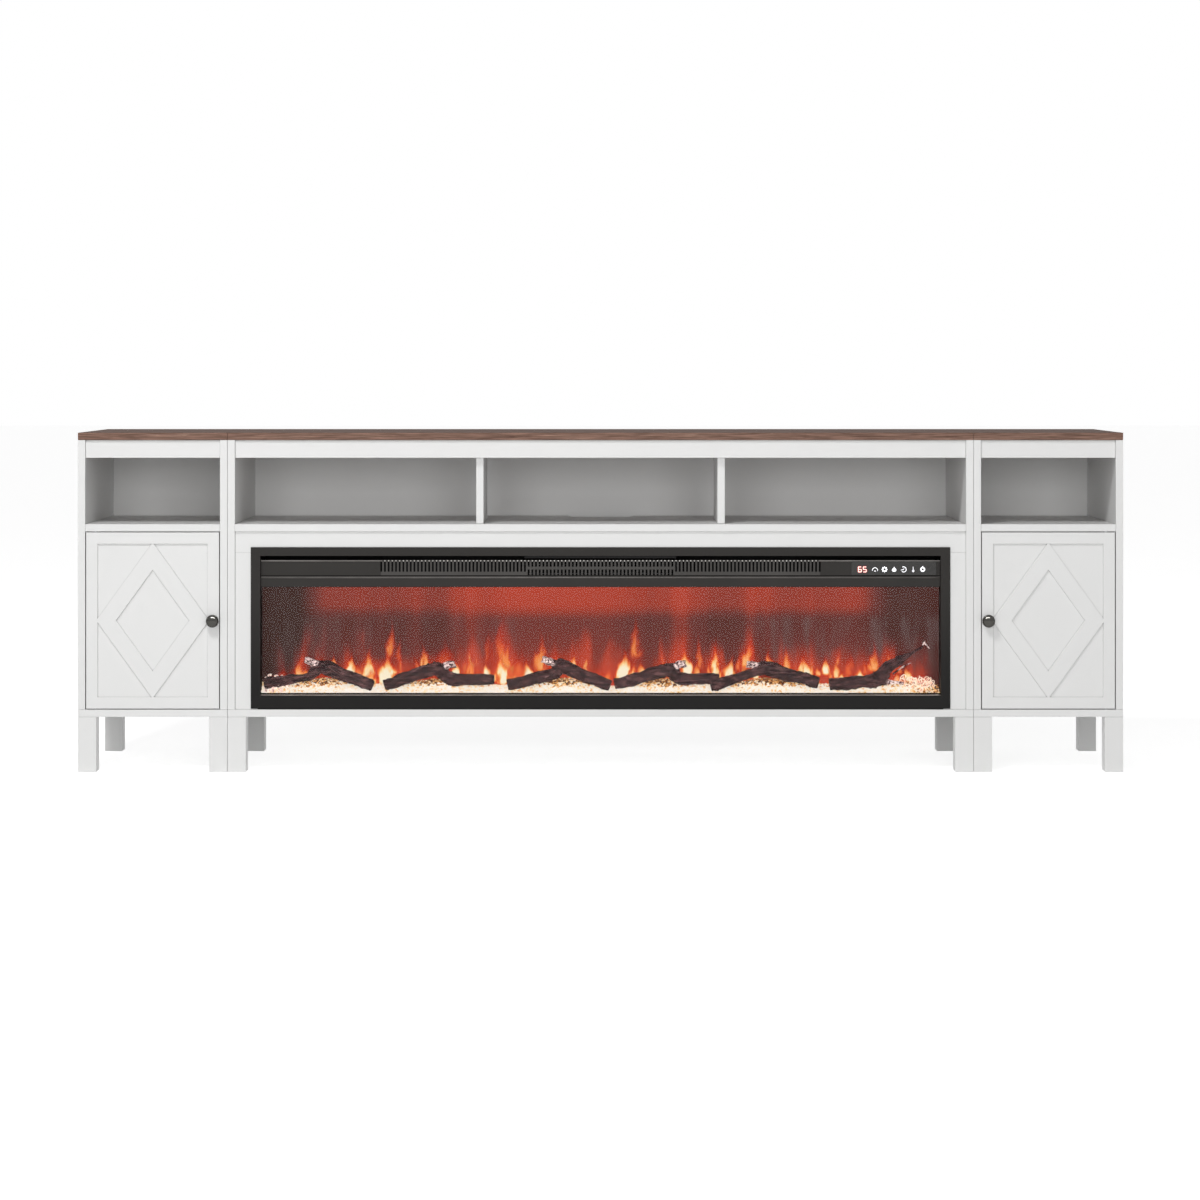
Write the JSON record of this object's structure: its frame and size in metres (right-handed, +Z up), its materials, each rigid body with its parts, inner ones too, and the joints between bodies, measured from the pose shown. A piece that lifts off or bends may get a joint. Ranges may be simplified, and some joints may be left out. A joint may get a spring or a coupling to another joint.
{
  "type": "fireplace tv stand",
  "caption": "Low media stand with an electric fire in the middle, open bays above it and a cupboard with a diamond-faced door at each end.",
  "frame": {"origin": "on the floor, below the middle of the whole stand with its knobs", "axes": "+X to the right seen from the front, +Y to the back, +Z up; the doors face -Y"},
  "size_m": [2.28, 0.425, 0.74],
  "materials": {
    "white_lacquer": "satin white lacquer on fibreboard",
    "walnut_foil": "reddish brown woodgrain foil on fibreboard",
    "gunmetal": "polished dark gunmetal plating",
    "zinc_steel": "zinc plated",
    "black_enamel": "fine matt black powder coat",
    "black_steel": "matt black coated sheet",
    "black_gloss": "gloss black display window",
    "fire_glass": "clear toughened glass",
    "smoked_acrylic": "half-mirrored smoked acrylic",
    "charred_resin": "moulded and painted, lit from below",
    "foil_reflector": "bright reflector sheet",
    "motor_plate": "pressed steel can",
    "galvanised": "galvanised sheet",
    "heater_ceramic": "dark heating ceramic with metal fins"
  },
  "bodies": {
    "stand": {"left_cabinet_top_board": "walnut_foil", "left_cabinet_top_rail": "white_lacquer", "left_cabinet_outer_side": "white_lacquer", "left_cabinet_inner_side": "white_lacquer", "left_cabinet_fixed_shelf": "white_lacquer", "left_cabinet_bottom_board": "white_lacquer", "left_cabinet_back_panel": "white_lacquer", "left_cabinet_loose_shelf": "white_lacquer", "left_cabinet_leg_front_left": "white_lacquer", "left_cabinet_leg_rear_left": "white_lacquer", "left_cabinet_leg_front_right": "white_lacquer", "left_cabinet_leg_rear_right": "white_lacquer", "right_cabinet_top_board": "walnut_foil", "right_cabinet_top_rail": "white_lacquer", "right_cabinet_outer_side": "white_lacquer", "right_cabinet_inner_side": "white_lacquer", "right_cabinet_fixed_shelf": "white_lacquer", "right_cabinet_bottom_board": "white_lacquer", "right_cabinet_back_panel": "white_lacquer", "right_cabinet_loose_shelf": "white_lacquer", "right_cabinet_leg_front_left": "white_lacquer", "right_cabinet_leg_rear_left": "white_lacquer", "right_cabinet_leg_front_right": "white_lacquer", "right_cabinet_leg_rear_right": "white_lacquer", "console_top_board": "walnut_foil", "console_top_rail": "white_lacquer", "console_left_side": "white_lacquer", "console_right_side": "white_lacquer", "console_shelf": "white_lacquer", "console_left_divider": "white_lacquer", "console_right_divider": "white_lacquer", "console_back_panel": "white_lacquer", "console_bottom_board": "white_lacquer", "console_fire_surround": "white_lacquer", "console_leg_front_left": "white_lacquer", "console_leg_rear_left": "white_lacquer", "console_leg_front_right": "white_lacquer", "console_leg_rear_right": "white_lacquer", "fire_trim_frame": "black_enamel", "fire_casing": "black_steel", "fire_outlet_grille": "black_enamel", "fire_control_panel": "black_gloss", "fire_glass": "fire_glass", "fire_flame_screen": "smoked_acrylic", "fire_log_set": "charred_resin", "fire_spindle_motor": "motor_plate", "fire_blower_housing": "black_steel", "fire_heater_element": "heater_ceramic"},
    "left_door": {"left_door_slab": "white_lacquer", "left_door_overlay": "white_lacquer", "left_door_knob": "gunmetal", "left_door_top_pivot": "zinc_steel", "left_door_bottom_pivot": "zinc_steel"},
    "right_door": {"right_door_slab": "white_lacquer", "right_door_overlay": "white_lacquer", "right_door_knob": "gunmetal", "right_door_top_pivot": "zinc_steel", "right_door_bottom_pivot": "zinc_steel"},
    "flame_spindle": {"fire_flame_spindle": "foil_reflector"},
    "blower_wheel": {"fire_blower_wheel": "galvanised"}
  },
  "joints": [
    {"name": "left_door_hinge", "type": "hinge", "parent": "stand", "child": "left_door", "pos_m": [-1.1028, -0.1795, 0.3303], "axis": [0, 0, -1], "range_deg": [0, 105]},
    {"name": "right_door_hinge", "type": "hinge", "parent": "stand", "child": "right_door", "pos_m": [1.1028, -0.1795, 0.3303], "axis": [0, 0, 1], "range_deg": [0, 105]},
    {"name": "flame_spindle_turn", "type": "hinge", "parent": "stand", "child": "flame_spindle", "pos_m": [0, -0.0791, 0.1897], "axis": [1, 0, 0], "continuous": true},
    {"name": "blower_wheel_turn", "type": "hinge", "parent": "stand", "child": "blower_wheel", "pos_m": [0, -0.1015, 0.4385], "axis": [1, 0, 0], "continuous": true}
  ]
}
